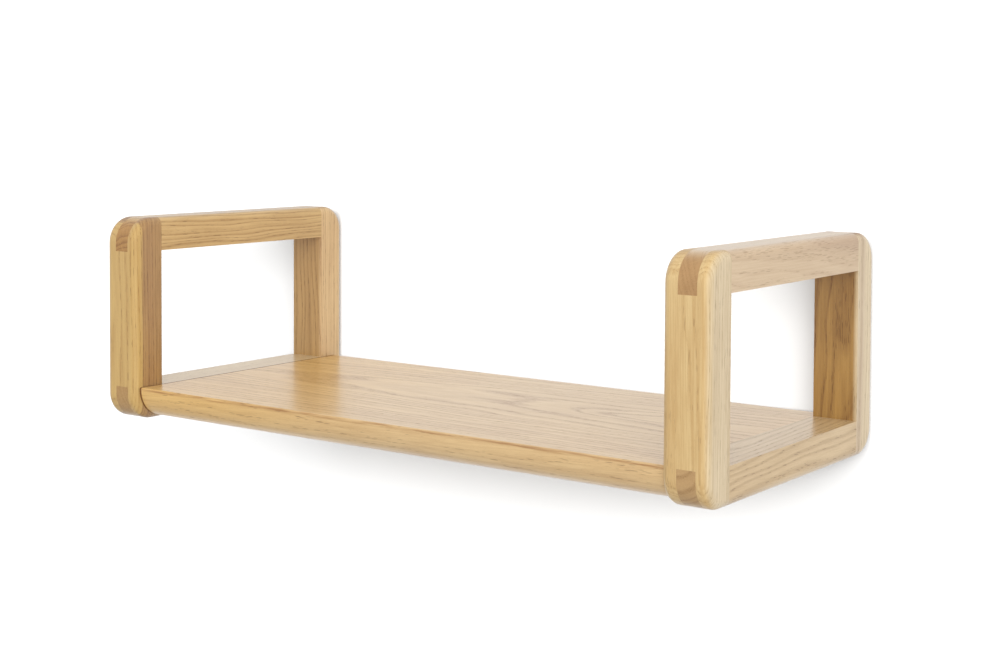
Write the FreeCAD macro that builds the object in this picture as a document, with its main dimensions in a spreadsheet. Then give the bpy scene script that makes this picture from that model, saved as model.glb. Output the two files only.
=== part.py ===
"""Wall shelf: one thick oak board carried between two closed rectangular end frames.

Each end frame is four bars. Its two uprights are forked at both ends, and the rails pass a full-width
tenon through each fork, so that the end grain of the tenons shows at the front and at the back. The
glued-up frame is rounded at its four corners and rounded over along every outer edge. Dowels join the
board to the lower rails, and a keyhole plate let into the back of each rear upright hangs the shelf.

The row frame is in millimetres: X runs along the board, Y points into the wall, whose surface is the
plane Y = 0, and Z is up, with Z = 0 on the line through the entry holes of the two keyhole plates.
Heights are written from the underside of the frames, and place() takes them down to that line.
"""
import FreeCAD, Part
import Sketcher
import os

SIZES = [
    # the whole shelf
    ("overall_width", 700.0),
    ("overall_depth", 315.0),
    ("overall_height", 206.0),
    # the bars of the end frames
    ("frame_thickness", 43.0),
    ("upright_width", 36.0),
    ("rail_height", 34.0),
    ("tenon_thickness", 17.5),
    ("tenon_offset", 2.0),
    ("corner_radius", 26.0),
    ("edge_round", 8.0),
    # the board
    ("board_thickness", 31.0),
    ("board_front_setback", 6.0),
    ("board_rear_gap", 16.0),
    ("board_nose_radius", 29.0),
    ("board_edge_round", 1.5),
    # the dowels, driven half into the board and half into the lower rail
    ("dowel_diameter", 8.0),
    ("dowel_length", 40.0),
    ("dowel_chamfer", 1.0),
    ("dowel_end_gap", 1.0),
    ("dowel_inset", 45.0),
    # the keyhole plates and their screws
    ("hanger_height", 143.0),
    ("plate_length", 43.0),
    ("plate_width", 16.0),
    ("plate_thickness", 2.0),
    ("plate_centre_rise", 5.0),
    ("entry_diameter", 9.5),
    ("slot_width", 4.5),
    ("slot_rise", 11.0),
    ("relief_width", 10.5),
    ("relief_length", 24.0),
    ("relief_depth", 8.0),
    ("screw_offset", 17.0),
    ("screw_diameter", 3.5),
    ("screw_head_diameter", 6.6),
    ("screw_length", 16.0),
    ("screw_tip_length", 4.0),
    ("screw_point_diameter", 0.5),
    ("screw_drive_width", 0.9),
    ("screw_drive_span", 3.4),
    ("screw_drive_depth", 1.2),
]
DOWELS_PER_SIDE = 4
DOWELS = range(1, DOWELS_PER_SIDE + 1)

# where the inner and outer faces of each end frame stand, as expressions on the sheet
FRAME_START = {
    "left": "-Sizes.overall_width / 2",
    "right": "Sizes.overall_width / 2 - Sizes.frame_thickness",
}
FRAME_MIDDLE = {
    "left": "-Sizes.overall_width / 2 + Sizes.frame_thickness / 2",
    "right": "Sizes.overall_width / 2 - Sizes.frame_thickness / 2",
}
# both frames come from one pattern, so their tenons stand off centre to the same side
TENON_START = {side: f"{middle} + Sizes.tenon_offset - Sizes.tenon_thickness / 2"
               for side, middle in FRAME_MIDDLE.items()}
INNER_FACE = {
    "left": "-Sizes.overall_width / 2 + Sizes.frame_thickness",
    "right": "Sizes.overall_width / 2 - Sizes.frame_thickness",
}
BOARD_SIDE = {"left": 1, "right": -1}
ALONG_X = FreeCAD.Rotation(FreeCAD.Vector(0, 1, 0), 90)
INTO_WOOD = FreeCAD.Rotation(FreeCAD.Vector(1, 0, 0), 90)

doc = FreeCAD.newDocument("wall_shelf")
nodes = []


# ---- the sheet and small helpers ---------------------------------------------------------------
def make_sheet():
    sheet = doc.addObject("Spreadsheet::Sheet", "Sizes")
    for row, (alias, value) in enumerate(SIZES, start=1):
        sheet.set(f"A{row}", alias)
        sheet.set(f"B{row}", str(value))
        sheet.setAlias(f"B{row}", alias)
    doc.recompute()
    return sheet


def place(obj, x, y, z, turn=None):
    """Bind an object's place; z is a height above the underside of the frames."""
    if turn is not None:
        obj.Placement = FreeCAD.Placement(FreeCAD.Vector(), turn)
    obj.setExpression("Placement.Base.x", x)
    obj.setExpression("Placement.Base.y", y)
    obj.setExpression("Placement.Base.z", f"({z}) - Sizes.hanger_height")
    return obj


def box(name, size, corner):
    obj = doc.addObject("Part::Box", name)
    for prop, value in zip(("Length", "Width", "Height"), size):
        obj.setExpression(prop, value)
    return place(obj, *corner)


def cylinder(name, radius, height, start, turn):
    obj = doc.addObject("Part::Cylinder", name)
    obj.setExpression("Radius", radius)
    obj.setExpression("Height", height)
    return place(obj, *start, turn)


def cone(name, start_radius, end_radius, height, start, turn):
    obj = doc.addObject("Part::Cone", name)
    obj.setExpression("Radius1", start_radius)
    obj.setExpression("Radius2", end_radius)
    obj.setExpression("Height", height)
    return place(obj, *start, turn)


def fuse(name, shapes):
    obj = doc.addObject("Part::MultiFuse", name)
    obj.Shapes = shapes
    return obj


def cut(name, base, tool):
    obj = doc.addObject("Part::Cut", name)
    obj.Base = base
    obj.Tool = tool
    return obj


def common(name, base, tool):
    obj = doc.addObject("Part::Common", name)
    obj.Base = base
    obj.Tool = tool
    return obj


def finish(obj, label):
    """Give a finished sub-part its name and put it on the list of pieces."""
    obj.Label = label
    nodes.append(obj)
    return obj


def origin_plane(body, role):
    return next(f for f in body.Origin.OriginFeatures if f.Role == role)


def add_rectangle(sketch, corner, size):
    """Draw a rectangle whose low corner and sides follow expressions on the sheet."""
    points = [(0, 0), (10, 0), (10, 10), (0, 10)]
    first = sketch.GeometryCount
    for start, end in zip(points, points[1:] + points[:1]):
        line = Part.LineSegment(FreeCAD.Vector(*start, 0), FreeCAD.Vector(*end, 0))
        sketch.addGeometry(line, False)
    for side in range(4):
        after = first + (side + 1) % 4
        sketch.addConstraint(Sketcher.Constraint("Coincident", first + side, 2, after, 1))
    for side, kind in enumerate(("Horizontal", "Vertical", "Horizontal", "Vertical")):
        sketch.addConstraint(Sketcher.Constraint(kind, first + side))
    origin = (-1, 1)
    bound = [
        ("DistanceX", (*origin, first, 1), corner[0]),
        ("DistanceY", (*origin, first, 1), corner[1]),
        ("DistanceX", (first, 1, first, 2), size[0]),
        ("DistanceY", (first + 1, 1, first + 1, 2), size[1]),
    ]
    for kind, where, expression in bound:
        index = sketch.addConstraint(Sketcher.Constraint(kind, *where, 1.0))
        sketch.setExpression(f"Constraints[{index}]", expression)


def side_sketch(body, name):
    """A sketch on the body's YZ plane: its X runs along Y, and its Y runs up."""
    sketch = body.newObject("Sketcher::SketchObject", name)
    sketch.AttachmentSupport = [(origin_plane(body, "YZ_Plane"), "")]
    sketch.MapMode = "FlatFace"
    return sketch


def pad_along_x(body, sketch, name, length):
    pad = body.newObject("PartDesign::Pad", name)
    pad.Profile = sketch
    pad.setExpression("Length", length)
    doc.recompute()
    return pad


def fillet(body, base, name, edges, radius):
    feature = body.newObject("PartDesign::Fillet", name)
    feature.Base = (base, edges)
    feature.setExpression("Radius", radius)
    doc.recompute()
    return feature


def edge_names(shape, wanted):
    return [f"Edge{i}" for i, edge in enumerate(shape.Edges, start=1) if wanted(edge)]


def runs_along_x(edge):
    box_of_edge = edge.BoundBox
    return box_of_edge.XLength > 1.0 and box_of_edge.YLength + box_of_edge.ZLength < 1e-6


# ---- the end frames ----------------------------------------------------------------------------
def frame_blank(side):
    """The outer form of a glued-up frame: a block with round corners and rounded-over edges."""
    body = doc.addObject("PartDesign::Body", f"{side}_frame_blank")
    place(body, FRAME_START[side], "0", "0")
    sketch = side_sketch(body, f"{side}_frame_outline")
    add_rectangle(sketch, ("-Sizes.overall_depth", "0"), ("Sizes.overall_depth", "Sizes.overall_height"))
    block = pad_along_x(body, sketch, f"{side}_frame_block", "Sizes.frame_thickness")
    corners = edge_names(block.Shape, runs_along_x)
    rounded = fillet(body, block, f"{side}_frame_corners", corners, "Sizes.corner_radius")
    rims = edge_names(rounded.Shape, lambda edge: edge.BoundBox.XLength < 1e-6)
    fillet(body, rounded, f"{side}_frame_round_over", rims, "Sizes.edge_round")
    return body


def upright_space(side, place_name, start_y):
    """The room an upright takes: its full height, less the two slots that make its ends forked."""
    name = f"{side}_{place_name}"
    bar = box(f"{name}_bar", ("Sizes.frame_thickness", "Sizes.upright_width", "Sizes.overall_height"),
              (FRAME_START[side], start_y, "0"))
    slot_size = ("Sizes.tenon_thickness", "Sizes.upright_width", "Sizes.rail_height")
    heights = {"lower": "0", "upper": "Sizes.overall_height - Sizes.rail_height"}
    slots = [box(f"{name}_{end}_slot", slot_size, (TENON_START[side], start_y, height))
             for end, height in heights.items()]
    return cut(f"{name}_space", bar, fuse(f"{name}_slots", slots))


def rail_space(side, place_name, start_z):
    """The room a rail takes: full thickness between the uprights, and a tenon out to both faces."""
    name = f"{side}_{place_name}"
    between = "Sizes.overall_depth - 2 * Sizes.upright_width"
    shoulder = box(f"{name}_bar", ("Sizes.frame_thickness", between, "Sizes.rail_height"),
                   (FRAME_START[side], "-Sizes.overall_depth + Sizes.upright_width", start_z))
    tenon = box(f"{name}_tenons", ("Sizes.tenon_thickness", "Sizes.overall_depth", "Sizes.rail_height"),
                (TENON_START[side], "-Sizes.overall_depth", start_z))
    return fuse(f"{name}_space", [shoulder, tenon])


def end_frame(side):
    """Cut the four bars of one frame out of its blank, and bore the ones that take dowels or plates."""
    blank = frame_blank(side)
    spaces = {
        "front_stile": upright_space(side, "front_stile", "-Sizes.overall_depth"),
        "rear_stile": upright_space(side, "rear_stile", "-Sizes.upright_width"),
        "bottom_rail": rail_space(side, "bottom_rail", "0"),
        "top_rail": rail_space(side, "top_rail", "Sizes.overall_height - Sizes.rail_height"),
    }
    bars = {part: common(f"{side}_{part}_wood", blank, space) for part, space in spaces.items()}
    bored_rail = cut(f"{side}_bottom_rail_bored", bars["bottom_rail"], dowel_holes(side, "rail"))
    bored_stile = cut(f"{side}_rear_stile_bored", bars["rear_stile"], hanger_recess(side))
    finish(bars["front_stile"], f"{side}_front_stile")
    finish(bored_stile, f"{side}_rear_stile")
    finish(bored_rail, f"{side}_bottom_rail")
    finish(bars["top_rail"], f"{side}_top_rail")


# ---- the dowels --------------------------------------------------------------------------------
BOARD_FRONT = "(-Sizes.overall_depth + Sizes.board_front_setback)"
BOARD_DEPTH = "(Sizes.overall_depth - Sizes.board_front_setback - Sizes.board_rear_gap)"
BOARD_LIFT = "(Sizes.rail_height - Sizes.board_thickness)"
DOWEL_LEVEL = f"{BOARD_LIFT} + Sizes.board_thickness / 2"


def dowel_y(number):
    """Dowels stand at even steps between an inset from the front and from the rear of the board."""
    share = (number - 1) / (DOWELS_PER_SIDE - 1)
    return f"{BOARD_FRONT} + Sizes.dowel_inset + {share!r} * ({BOARD_DEPTH} - 2 * Sizes.dowel_inset)"


def dowel_holes(side, into):
    """Blind holes from the joint face, a little deeper than half a dowel, into the board or the rail."""
    depth = "(Sizes.dowel_length / 2 + Sizes.dowel_end_gap)"
    goes_up_x = (BOARD_SIDE[side] > 0) == (into == "board")
    start = INNER_FACE[side] if goes_up_x else f"{INNER_FACE[side]} - {depth}"
    holes = [cylinder(f"{side}_{into}_dowel_hole_{number}", "Sizes.dowel_diameter / 2", depth,
                      (start, dowel_y(number), DOWEL_LEVEL), ALONG_X) for number in DOWELS]
    return fuse(f"{side}_{into}_dowel_holes", holes)


def dowel(side, number):
    """A turned pin with a small chamfer at each end, centred on the joint face."""
    name = f"{side}_dowel_{number}"
    radius = "Sizes.dowel_diameter / 2"
    narrow = f"{radius} - Sizes.dowel_chamfer"
    chamfer = "Sizes.dowel_chamfer"
    start = f"{INNER_FACE[side]} - Sizes.dowel_length / 2"
    end = f"{INNER_FACE[side]} + Sizes.dowel_length / 2 - Sizes.dowel_chamfer"
    across = (dowel_y(number), DOWEL_LEVEL)
    lead_in = cone(f"{name}_near_end", narrow, radius, chamfer, (start, *across), ALONG_X)
    shank = cylinder(f"{name}_shank", radius, "Sizes.dowel_length - 2 * Sizes.dowel_chamfer",
                     (f"{start} + Sizes.dowel_chamfer", *across), ALONG_X)
    lead_out = cone(f"{name}_far_end", radius, narrow, chamfer, (end, *across), ALONG_X)
    finish(fuse(f"{name}_pin", [lead_in, shank, lead_out]), name)


# ---- the board ---------------------------------------------------------------------------------
def shelf_board():
    """The board between the frames: eased above, with a large quarter round under its front edge."""
    body = doc.addObject("PartDesign::Body", "board_blank")
    place(body, INNER_FACE["left"], "0", "0")
    sketch = side_sketch(body, "board_outline")
    add_rectangle(sketch, (BOARD_FRONT, BOARD_LIFT), (BOARD_DEPTH, "Sizes.board_thickness"))
    plank = pad_along_x(body, sketch, "board_plank", "Sizes.overall_width - 2 * Sizes.frame_thickness")

    def front_edge(solid, level):
        """The name of the long edge of a solid that stands at its front, at its ZMin or its ZMax."""
        whole = solid.Shape.BoundBox

        def wanted(edge):
            middle = edge.CenterOfMass
            at_level = abs(middle.z - getattr(whole, level)) < 1e-6
            return runs_along_x(edge) and middle.y < whole.YMin + 1e-6 and at_level
        return edge_names(solid.Shape, wanted)

    nosed = fillet(body, plank, "board_nose", front_edge(plank, "ZMin"), "Sizes.board_nose_radius")
    fillet(body, nosed, "board_eased_edge", front_edge(nosed, "ZMax"), "Sizes.board_edge_round")
    holes = fuse("board_dowel_holes", [dowel_holes(side, "board") for side in FRAME_START])
    finish(cut("board_bored", body, holes), "shelf_board")


# ---- the keyhole plates and their screws ---------------------------------------------------------
PLATE_LEVEL = "Sizes.hanger_height + Sizes.plate_centre_rise"
SCREW_OFFSETS = {"lower": "-Sizes.screw_offset", "upper": "Sizes.screw_offset"}


def upright_slot(name, middle_x, middle_z, width, length, depth):
    """A round-ended slot that stands upright in the back face and runs depth into the wood."""
    straight = f"({length} - {width})"
    radius = f"({width}) / 2"
    low = f"{middle_z} - {straight} / 2"
    high = f"{middle_z} + {straight} / 2"
    body = box(f"{name}_middle", (width, depth, straight),
               (f"{middle_x} - {radius}", f"-({depth})", low))
    ends = [cylinder(f"{name}_{end}_end", radius, depth, (middle_x, "0", level), INTO_WOOD)
            for end, level in (("low", low), ("high", high))]
    return fuse(name, [body] + ends)


def hanger_recess(side):
    """What is routed and bored out of a rear upright: plate seat, room for a screw head, two pilots."""
    middle = FRAME_MIDDLE[side]
    seat = upright_slot(f"{side}_plate_seat", middle, PLATE_LEVEL,
                        "Sizes.plate_width", "Sizes.plate_length", "Sizes.plate_thickness")
    relief = upright_slot(f"{side}_relief", middle, PLATE_LEVEL,
                          "Sizes.relief_width", "Sizes.relief_length", "Sizes.relief_depth")
    pilots = [screw_shank(f"{side}_{end}_pilot", side, offset)
              for end, offset in SCREW_OFFSETS.items()]
    return fuse(f"{side}_hanger_recess", [seat, relief] + pilots)


def screw_shank(name, side, offset):
    """The straight and pointed part of a plate screw, which is also the form of its pilot hole."""
    start = (FRAME_MIDDLE[side], "0", f"{PLATE_LEVEL} + {offset}")
    straight = "(Sizes.screw_length - Sizes.screw_tip_length)"
    radius = "Sizes.screw_diameter / 2"
    shank = cylinder(f"{name}_straight", radius, straight, start, INTO_WOOD)
    tip_start = (start[0], f"-{straight}", start[2])
    tip = cone(f"{name}_tip", radius, "Sizes.screw_point_diameter / 2", "Sizes.screw_tip_length", tip_start, INTO_WOOD)
    return fuse(name, [shank, tip])


def screw_head(name, side, offset):
    """A countersunk head, flush with the back of the plate and as deep as the plate is thick."""
    start = (FRAME_MIDDLE[side], "0", f"{PLATE_LEVEL} + {offset}")
    return cone(name, "Sizes.screw_head_diameter / 2", "Sizes.screw_diameter / 2",
                "Sizes.plate_thickness", start, INTO_WOOD)


def hanger_screw(side, end):
    offset = SCREW_OFFSETS[end]
    name = f"{side}_hanger_screw_{end}"
    solid = fuse(f"{name}_solid", [screw_head(f"{name}_head", side, offset),
                                   screw_shank(f"{name}_shank", side, offset)])
    level = f"{PLATE_LEVEL} + {offset}"
    narrow, span = "Sizes.screw_drive_width", "Sizes.screw_drive_span"
    arms = []
    for arm, (width, height) in {"flat": (span, narrow), "upright": (narrow, span)}.items():
        corner = (f"{FRAME_MIDDLE[side]} - {width} / 2", "-Sizes.screw_drive_depth",
                  f"{level} - {height} / 2")
        arms.append(box(f"{name}_drive_{arm}", (width, "Sizes.screw_drive_depth", height), corner))
    finish(cut(f"{name}_cut", solid, fuse(f"{name}_drive", arms)), name)


def hanger_plate(side):
    """A round-ended steel plate with a keyhole: a round entry, and a narrow slot rising from it."""
    middle = FRAME_MIDDLE[side]
    name = f"{side}_hanger_plate"
    blank = upright_slot(f"{name}_blank", middle, PLATE_LEVEL,
                         "Sizes.plate_width", "Sizes.plate_length", "Sizes.plate_thickness")
    entry_level = "Sizes.hanger_height"
    entry = cylinder(f"{name}_entry", "Sizes.entry_diameter / 2", "Sizes.plate_thickness",
                     (middle, "0", entry_level), INTO_WOOD)
    slot = box(f"{name}_slot", ("Sizes.slot_width", "Sizes.plate_thickness", "Sizes.slot_rise"),
               (f"{middle} - Sizes.slot_width / 2", "-Sizes.plate_thickness", entry_level))
    slot_end = cylinder(f"{name}_slot_end", "Sizes.slot_width / 2", "Sizes.plate_thickness",
                        (middle, "0", f"{entry_level} + Sizes.slot_rise"), INTO_WOOD)
    heads = [screw_head(f"{name}_{end}_countersink", side, offset)
             for end, offset in SCREW_OFFSETS.items()]
    holes = fuse(f"{name}_holes", [entry, slot, slot_end] + heads)
    finish(cut(f"{name}_cut", blank, holes), name)


# ---- build, check and write --------------------------------------------------------------------
def check_document():
    failed = [obj.Name for obj in doc.Objects if {"Invalid", "Error"} & set(obj.State)]
    if failed:
        raise RuntimeError(f"objects that failed to build: {failed}")
    for node in nodes:
        shape = node.Shape
        if shape.isNull() or not shape.isValid() or len(shape.Solids) != 1:
            raise RuntimeError(f"{node.Label}: not one valid solid")


def write_parts():
    os.makedirs("parts", exist_ok=True)
    whole = FreeCAD.BoundBox()
    for node in nodes:
        node.Shape.exportStep(f"parts/{node.Label}.step")
        size = node.Shape.optimalBoundingBox()
        whole.add(size)
        print(f"{node.Label:28s} {size.XLength:7.1f} {size.YLength:7.1f} {size.ZLength:7.1f} mm,"
              f" {node.Shape.Volume / 1000:8.2f} cm3")
    print(f"whole: {whole.XLength:.1f} x {whole.YLength:.1f} x {whole.ZLength:.1f} mm,"
          f" Z from {whole.ZMin:.1f} to {whole.ZMax:.1f}, {len(nodes)} pieces")


make_sheet()
for frame_side in FRAME_START:
    end_frame(frame_side)
shelf_board()
for frame_side in FRAME_START:
    for dowel_number in DOWELS:
        dowel(frame_side, dowel_number)
    hanger_plate(frame_side)
    for screw_end in SCREW_OFFSETS:
        hanger_screw(frame_side, screw_end)
doc.recompute()
check_document()
write_parts()
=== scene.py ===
# %% [markdown]
# # An oak wall shelf
#
# The shelf is nine pieces of oak, with beech dowels hidden inside it and steel hanging plates in
# its back. The solids of all of them already exist, at their real size. What is left to do here is
# what a cabinet maker would call the finish: which way the grain of each bar runs, where the tree's
# heart lay, how the end grain drinks the oil, and how light falls on a satin surface.

# %% Load the frame
import math

import bpy
from mathutils import Matrix, Vector


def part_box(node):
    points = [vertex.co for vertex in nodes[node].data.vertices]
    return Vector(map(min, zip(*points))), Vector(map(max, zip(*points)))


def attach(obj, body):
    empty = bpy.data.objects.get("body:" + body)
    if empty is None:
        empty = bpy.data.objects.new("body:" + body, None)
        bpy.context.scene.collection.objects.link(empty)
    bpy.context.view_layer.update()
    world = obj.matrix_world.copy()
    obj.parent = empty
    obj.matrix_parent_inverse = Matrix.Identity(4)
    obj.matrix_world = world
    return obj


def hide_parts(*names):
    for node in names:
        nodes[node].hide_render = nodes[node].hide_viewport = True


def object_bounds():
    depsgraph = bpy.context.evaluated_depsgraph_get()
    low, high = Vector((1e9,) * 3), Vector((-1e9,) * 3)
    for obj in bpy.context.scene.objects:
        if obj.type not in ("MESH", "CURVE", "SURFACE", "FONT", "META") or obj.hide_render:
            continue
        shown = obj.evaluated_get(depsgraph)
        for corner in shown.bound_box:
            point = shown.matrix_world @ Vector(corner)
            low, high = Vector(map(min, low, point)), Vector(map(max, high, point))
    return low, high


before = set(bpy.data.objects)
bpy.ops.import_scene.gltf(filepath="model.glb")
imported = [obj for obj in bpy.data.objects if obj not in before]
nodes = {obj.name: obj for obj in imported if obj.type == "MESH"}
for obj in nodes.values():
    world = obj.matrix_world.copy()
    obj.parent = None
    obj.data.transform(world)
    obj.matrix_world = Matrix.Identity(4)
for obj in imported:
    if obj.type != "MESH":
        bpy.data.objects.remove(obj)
cad_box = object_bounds()
print("pieces in the frame:", len(nodes))

# %% [markdown]
# ## Small helpers
#
# A shader or a geometry tree is a list of nodes and of links between them. Writing each one out by
# hand takes four lines a node. The first helpers make a node, set its options and fill its inputs
# in one call: a plain value goes into the socket, and another node's output is linked to it. The
# rest are the few sums and patterns that every finish below is made of.


# %% Helpers that make and wire one node
def fill(tree, made, inputs):
    for name, value in inputs.items():
        if isinstance(value, bpy.types.NodeSocket):
            tree.links.new(value, made.inputs[name])
        else:
            made.inputs[name].default_value = value


def add(tree, kind, inputs=None, **options):
    made = tree.nodes.new(kind)
    for option, value in options.items():
        setattr(made, option, value)
    fill(tree, made, inputs or {})
    return made


def maths(tree, operation, first, second=0.0, third=0.0, clamp=False):
    values = {0: first, 1: second, 2: third}
    return add(tree, "ShaderNodeMath", values, operation=operation, use_clamp=clamp).outputs[0]


def vector_maths(tree, operation, first, second):
    return add(tree, "ShaderNodeVectorMath", {0: first, 1: second}, operation=operation).outputs[0]


# %% Helpers for places
AXES = {"x": Vector((1, 0, 0)), "y": Vector((0, 1, 0)), "z": Vector((0, 0, 1))}


def own_place(tree):
    """Where a point lies in its piece's own coordinates."""
    return add(tree, "ShaderNodeTexCoord").outputs["Object"]


def parts_of(tree, vector):
    return add(tree, "ShaderNodeSeparateXYZ", {0: vector}).outputs


def vector_of(tree, x=0.0, y=0.0, z=0.0):
    return add(tree, "ShaderNodeCombineXYZ", {0: x, 1: y, 2: z}).outputs[0]


def along_axis(tree, vector, axis):
    """How far a vector reaches along the axis x, y or z."""
    inputs = {0: vector, 1: AXES[axis]}
    return add(tree, "ShaderNodeVectorMath", inputs, operation="DOT_PRODUCT").outputs["Value"]


# %% Helpers for slopes, colours and noise
def soft_step(tree, value, low, high):
    """0 below low, 1 above high, and a smooth slope between; low may be the larger."""
    reach = {"Value": value, "From Min": low, "From Max": high}
    return add(tree, "ShaderNodeMapRange", reach, interpolation_type="SMOOTHSTEP").outputs[0]


def ramp(tree, value, stops):
    """A smooth curve through (place, height) stops."""
    curve = add(tree, "ShaderNodeValToRGB", {"Fac": value})
    elements = curve.color_ramp.elements
    curve.color_ramp.interpolation = "EASE"
    while len(elements) < len(stops):
        elements.new(0.5)
    for element, (place, height) in zip(elements, stops):
        element.position = place
        element.color = (height, height, height, 1.0)
    return curve.outputs["Color"]


def mix_colour(tree, factor, first, second, blend="MIX"):
    mixed = add(tree, "ShaderNodeMix", {0: factor, 6: first, 7: second},
                data_type="RGBA", blend_type=blend)
    return mixed.outputs[2]


def noise(tree, place, size, detail=2.0, roughness=0.5):
    """Noise whose spots are about as large as size says, in metres along each axis."""
    stretched = vector_maths(tree, "DIVIDE", place, size)
    inputs = {"Vector": stretched, "Scale": 1.0, "Detail": detail, "Roughness": roughness}
    return add(tree, "ShaderNodeTexNoise", inputs)


def screen_colour(red, green, blue):
    """A colour given as a screen shows it, from 0 to 255, in Blender's linear scale. The numbers
    are those of the usual screen curve."""
    linear = [((v / 255 + 0.055) / 1.055) ** 2.4 if v > 10 else v / 255 / 12.92
              for v in (red, green, blue)]
    return (*linear, 1.0)


print("a screen's middle grey in linear light:", round(screen_colour(128, 128, 128)[0], 3))

# %% [markdown]
# ## Oak as a solid
#
# Wood is not a picture on a surface but a solid made of rings around the heart of the tree. Where a
# saw cuts along the rings they open into long arches, where it cuts across them they are straight
# lines, and on end grain they are arcs. A texture worked out from the point in space gives all
# three for free, and a rounded corner shows nested arcs just as a real one does.
#
# The group below takes a place in the log: Z along the trunk, X and Y across it, with the heart on
# the Z axis. It bends that place a little, since no trunk is a perfect cylinder, and reads the
# distance from the heart. Each year starts with a band of large pores, the early wood, and ends in
# dense late wood. Rays run outwards from the heart like the spokes of a wheel.
#
# Sizes of spots are in metres across the trunk twice and then along it, so wood's stretched look
# comes from a third number that is many times the first.

# %% The oak group: its sockets
GROUP_INPUTS = {
    "Log": "NodeSocketVector",
    "Ring width": "NodeSocketFloat",
    "Wander": "NodeSocketFloat",
    "Rings": "NodeSocketFloat",
    "Contrast": "NodeSocketFloat",
    "Pore depth": "NodeSocketFloat",
    "Light": "NodeSocketColor",
    "Dark": "NodeSocketColor",
    "Stain": "NodeSocketColor",
    "Stain radius": "NodeSocketFloat",
    "Stain width": "NodeSocketFloat",
    "Stain depth": "NodeSocketFloat",
    "End grain": "NodeSocketFloat",
    "Thirst": "NodeSocketFloat",
}
GROUP_OUTPUTS = {
    "Colour": "NodeSocketColor",
    "Roughness": "NodeSocketFloat",
    "Height": "NodeSocketFloat",
}


def new_group(name, kind, inputs, outputs):
    tree = bpy.data.node_groups.new(name, kind)
    for direction, sockets in (("INPUT", inputs), ("OUTPUT", outputs)):
        for socket, socket_kind in sockets.items():
            tree.interface.new_socket(socket, in_out=direction, socket_type=socket_kind)
    given = tree.nodes.new("NodeGroupInput").outputs
    result = tree.nodes.new("NodeGroupOutput").inputs
    return tree, given, result


# %% The oak group: year rings
BROAD_BEND_SIZE = (0.050, 0.050, 0.26)
FINE_BEND_SIZE = (0.010, 0.010, 0.07)
FINE_BEND = 0.0013
SEASON_CHANGE = 0.37
SEASON_SPREAD = 2.4
EARLY_WOOD = [(0.0, 0.55), (0.07, 1.0), (0.20, 0.70), (0.42, 0.15), (0.85, 0.0), (1.0, 0.55)]


def push(tree, place, size, spread):
    """A push that drifts with the place: nothing on average, up to about half of spread."""
    drift = noise(tree, place, size).outputs["Color"]
    centred = vector_maths(tree, "SUBTRACT", drift, (0.5, 0.5, 0.5))
    return add(tree, "ShaderNodeVectorMath", {0: centred, 3: spread}, operation="SCALE").outputs[0]


def year_rings(tree, given):
    """Bend the log, then give the distance from the heart, the angle and the early wood's share."""
    log = given["Log"]
    bent = vector_maths(tree, "ADD", log, push(tree, log, BROAD_BEND_SIZE, given["Wander"]))
    bent = vector_maths(tree, "ADD", bent, push(tree, log, FINE_BEND_SIZE, FINE_BEND))
    across = vector_maths(tree, "MULTIPLY", bent, (1.0, 1.0, 0.0))
    radius = add(tree, "ShaderNodeVectorMath", {0: across}, operation="LENGTH").outputs["Value"]
    bent_parts = parts_of(tree, bent)
    angle = maths(tree, "ARCTAN2", bent_parts[1], bent_parts[0])
    years = maths(tree, "DIVIDE", radius, given["Ring width"])
    seasons = add(tree, "ShaderNodeTexNoise", {"W": years, "Scale": SEASON_CHANGE, "Detail": 1.0},
                  noise_dimensions="1D").outputs["Fac"]
    share = maths(tree, "FRACT", maths(tree, "MULTIPLY_ADD", seasons, SEASON_SPREAD, years))
    return radius, angle, ramp(tree, share, EARLY_WOOD)


# %% The oak group: the ground colour
PLANK_SIZE = (0.020, 0.020, 0.13)
PLANK_SLOPE = (0.30, 0.72)
PLANK_SHARE = 0.36
FIBRE_SIZE = (0.0013, 0.0013, 0.060)
FIBRE_SLOPE = (0.34, 0.68)
FIBRE_SHARE = 0.34


def ground_colour(tree, given, early):
    """From light to dark with the rings, with the fibres, and slowly over the plank."""
    drift = noise(tree, given["Log"], PLANK_SIZE, detail=3.0, roughness=0.6).outputs["Fac"]
    fibres = noise(tree, given["Log"], FIBRE_SIZE, detail=3.0, roughness=0.7).outputs["Fac"]
    streaks = soft_step(tree, fibres, *FIBRE_SLOPE)
    amount = maths(tree, "MULTIPLY", early, given["Rings"])
    amount = maths(tree, "MULTIPLY_ADD", streaks, FIBRE_SHARE, amount)
    amount = maths(tree, "MULTIPLY_ADD", soft_step(tree, drift, *PLANK_SLOPE), PLANK_SHARE, amount)
    amount = maths(tree, "MULTIPLY", amount, given["Contrast"], clamp=True)
    return mix_colour(tree, amount, given["Light"], given["Dark"]), fibres, streaks


def stained(tree, given, radius, colour):
    """A stain that follows one group of rings."""
    away = maths(tree, "ABSOLUTE", maths(tree, "SUBTRACT", radius, given["Stain radius"]))
    inside = soft_step(tree, away, given["Stain width"], 0.0)
    depth = maths(tree, "MULTIPLY", inside, given["Stain depth"])
    return mix_colour(tree, depth, colour, given["Stain"])


# %% The oak group: pores
WIDE_PORE_SIZE = (0.00105, 0.00105, 0.015)
WIDE_PORE_REACH = (0.06, 0.36)
FINE_PORE_SIZE = (0.00070, 0.00070, 0.007)
FINE_PORE_REACH = (0.17, 0.24)
FINE_PORE_SHARE = 0.45
PORE_RIM = (-0.03, 0.09)
PORE_SHADE = (0.30, 0.22, 0.16, 1.0)


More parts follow.
